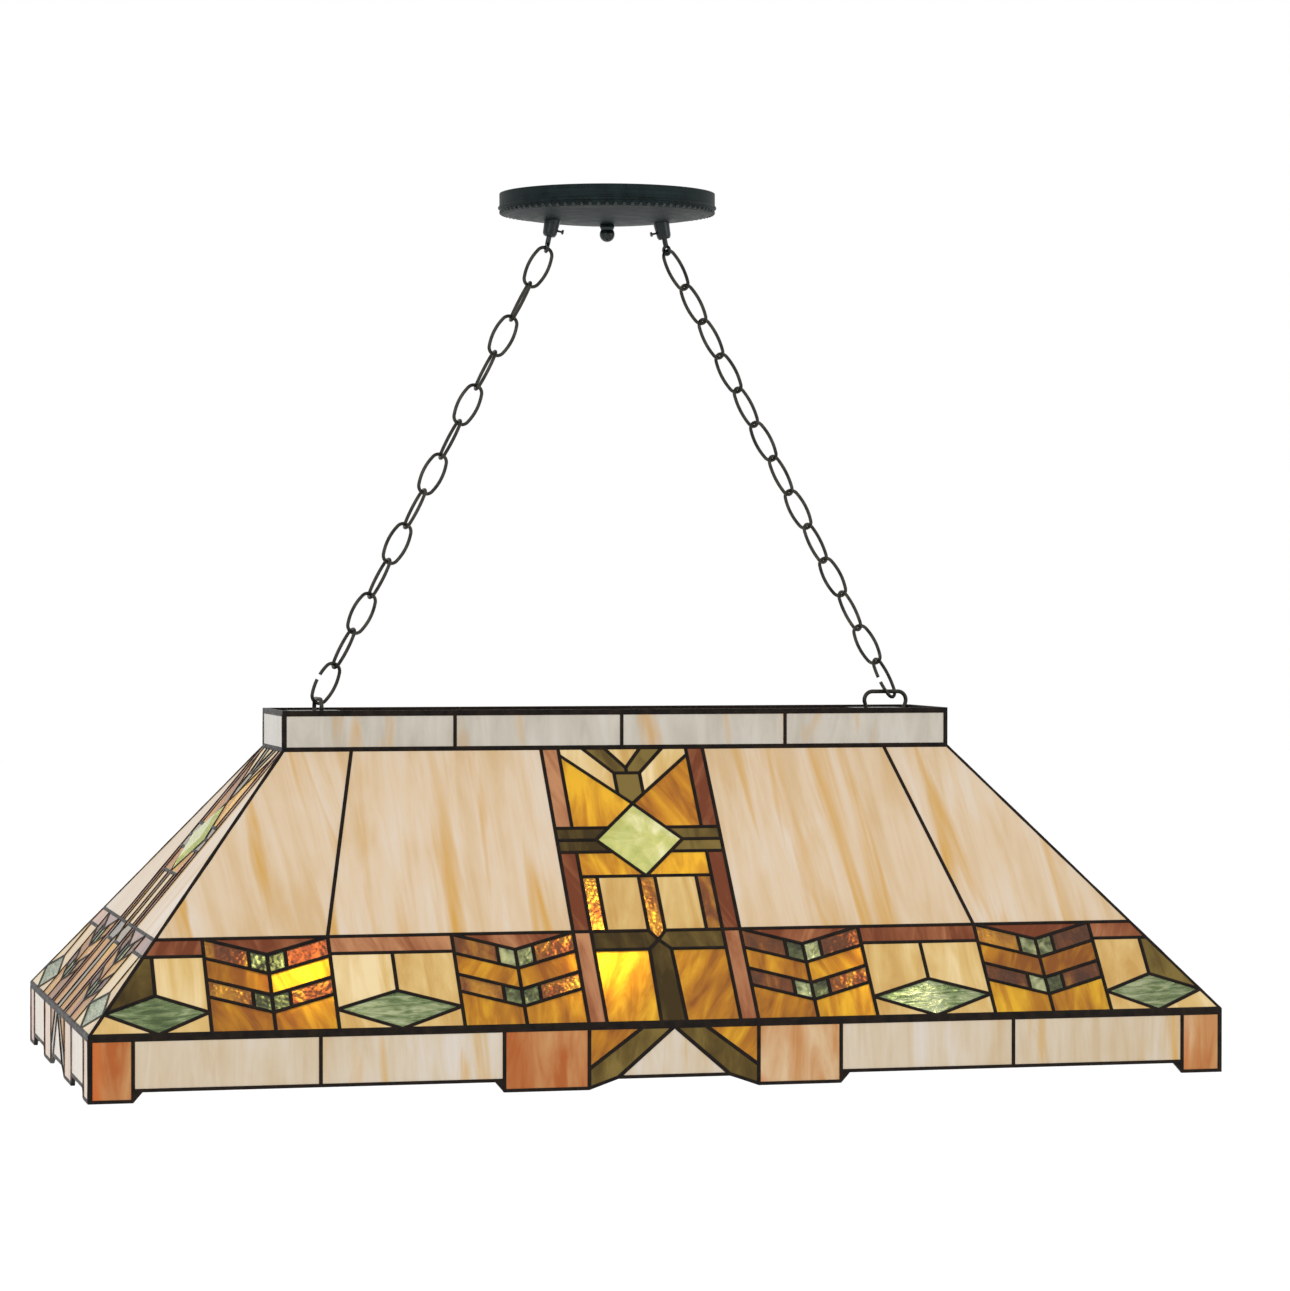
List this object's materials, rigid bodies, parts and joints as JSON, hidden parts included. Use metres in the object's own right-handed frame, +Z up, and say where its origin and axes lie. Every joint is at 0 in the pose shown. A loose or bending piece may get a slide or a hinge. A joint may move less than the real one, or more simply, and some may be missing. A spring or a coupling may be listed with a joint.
{
  "type": "pool table lamp",
  "caption": "Long hipped shade of leaded glass with open top and stepped skirt, hung on chains from a round ceiling canopy.",
  "frame": {"origin": "centre of the canopy's rim, on the ceiling", "axes": "+Z up into the ceiling, +X along the shade's length, -Y to the front"},
  "size_m": [1.016, 0.508, 0.8],
  "materials": {
    "amber_glass": "gloss",
    "bulb_cap": "satin",
    "burgundy_glass": "gloss",
    "caramel_glass": "gloss",
    "copper_glass": "gloss",
    "cream_glass": "gloss",
    "crown_glass": "gloss",
    "dark_bronze": "satin",
    "frosted_bulb": "matte",
    "green_glass": "gloss",
    "jewel_glass": "gloss",
    "lampholder_shell": "gloss",
    "lead_came": "satin",
    "mint_glass": "gloss",
    "olive_glass": "gloss",
    "plated_steel": "satin",
    "skirt_glass": "gloss",
    "tan_glass": "gloss"
  },
  "bodies": {
    "canopy": {"canopy_pan": "dark_bronze", "ceiling_crossbar": "plated_steel", "canopy_pipe": "plated_steel", "pipe_locknut": "plated_steel", "ground_screw": "plated_steel", "left_swivel_cup": "dark_bronze", "right_swivel_cup": "dark_bronze", "swivel_locknuts": "plated_steel"},
    "finial": {"finial_knob": "dark_bronze"},
    "left_clamp": {"left_clamp_screw": "dark_bronze"},
    "left_swivel_stem": {"left_swivel": "dark_bronze"},
    "left_links": {"left_chain": "dark_bronze"},
    "left_last_link": {"left_open_link": "dark_bronze"},
    "right_clamp": {"right_clamp_screw": "dark_bronze"},
    "right_swivel_stem": {"right_swivel": "dark_bronze"},
    "right_links": {"right_chain": "dark_bronze"},
    "right_last_link": {"right_open_link": "dark_bronze"},
    "shade": {"amber_glass": "amber_glass", "bulb_caps": "bulb_cap", "burgundy_glass": "burgundy_glass", "caramel_glass": "caramel_glass", "centre_bulb": "frosted_bulb", "centre_lamp_strap": "dark_bronze", "centre_lampholder": "lampholder_shell", "copper_glass": "copper_glass", "cream_glass": "cream_glass", "crown_back_lead": "lead_came", "crown_front_lead": "lead_came", "crown_glass": "crown_glass", "crown_left_lead": "lead_came", "crown_right_lead": "lead_came", "green_glass": "green_glass", "jewel_glass": "jewel_glass", "lamp_pipe_nuts": "plated_steel", "lamp_pipes": "plated_steel", "left_bulb": "frosted_bulb", "left_hanger_strap": "dark_bronze", "left_hanging_ring": "dark_bronze", "left_lamp_strap": "dark_bronze", "left_lampholder": "lampholder_shell", "mint_glass": "mint_glass", "olive_glass": "olive_glass", "right_bulb": "frosted_bulb", "right_hanger_strap": "dark_bronze", "right_hanging_ring": "dark_bronze", "right_lamp_strap": "dark_bronze", "right_lampholder": "lampholder_shell", "roof_back_lead": "lead_came", "roof_front_lead": "lead_came", "roof_left_lead": "lead_came", "roof_right_lead": "lead_came", "skirt_back_lead": "lead_came", "skirt_front_lead": "lead_came", "skirt_glass": "skirt_glass", "skirt_left_lead": "lead_came", "skirt_right_lead": "lead_came", "tan_glass": "tan_glass"}
  },
  "joints": [
    {"name": "left_swing", "type": "hinge", "parent": "canopy", "child": "left_swivel_stem", "pos_m": [-0.05418, 0, -0.03554], "axis": [1, 0, -0.0008], "range_deg": [-12, 12]},
    {"name": "left_lean", "type": "hinge", "parent": "left_swivel_stem", "child": "left_links", "pos_m": [-0.05813, 0, -0.05412], "axis": [0, 1, 0], "range_deg": [-8, 8]},
    {"name": "left_link_turn", "type": "hinge", "parent": "left_links", "child": "left_last_link", "pos_m": [-0.25549, 0, -0.43661], "axis": [0, 1, 0], "range_deg": [-3, 3]},
    {"name": "shade_tip", "type": "hinge", "parent": "left_last_link", "child": "shade", "pos_m": [0.2705, 0, -0.4622], "axis": [0.9999, 0, 0.0145], "range_deg": [-10, 10]},
    {"name": "right_swing", "type": "hinge", "parent": "canopy", "child": "right_swivel_stem", "pos_m": [-0.05418, 0, -0.03554], "axis": [1, 0, -0.0008], "range_deg": [-12, 12]},
    {"name": "right_lean", "type": "hinge", "parent": "right_swivel_stem", "child": "right_links", "pos_m": [0.05815, 0, -0.05411], "axis": [0, 1, 0], "range_deg": [-9, 9]},
    {"name": "right_link_turn", "type": "hinge", "parent": "right_links", "child": "right_last_link", "pos_m": [0.26103, 0, -0.4337], "axis": [0, 1, 0], "range_deg": [-3, 3]},
    {"name": "finial_turn", "type": "hinge", "parent": "canopy", "child": "finial", "pos_m": [0, 0, -0.036], "axis": [0, 0, 1], "continuous": true},
    {"name": "left_clamp_turn", "type": "hinge", "parent": "canopy", "child": "left_clamp", "pos_m": [-0.04839, 0, -0.03472], "axis": [0.9781, 0, -0.2079], "continuous": true},
    {"name": "right_clamp_turn", "type": "hinge", "parent": "canopy", "child": "right_clamp", "pos_m": [0.04814, 0, -0.03481], "axis": [-0.9781, 0, -0.2079], "continuous": true}
  ],
  "couplings": [
    {"joint": "left_link_turn", "follows": "left_lean", "ratio": -0.22448},
    {"joint": "right_lean", "follows": "left_lean", "ratio": 1.0017},
    {"joint": "right_link_turn", "follows": "left_lean", "ratio": -0.22615},
    {"joint": "right_swing", "follows": "left_swing", "ratio": 1}
  ]
}
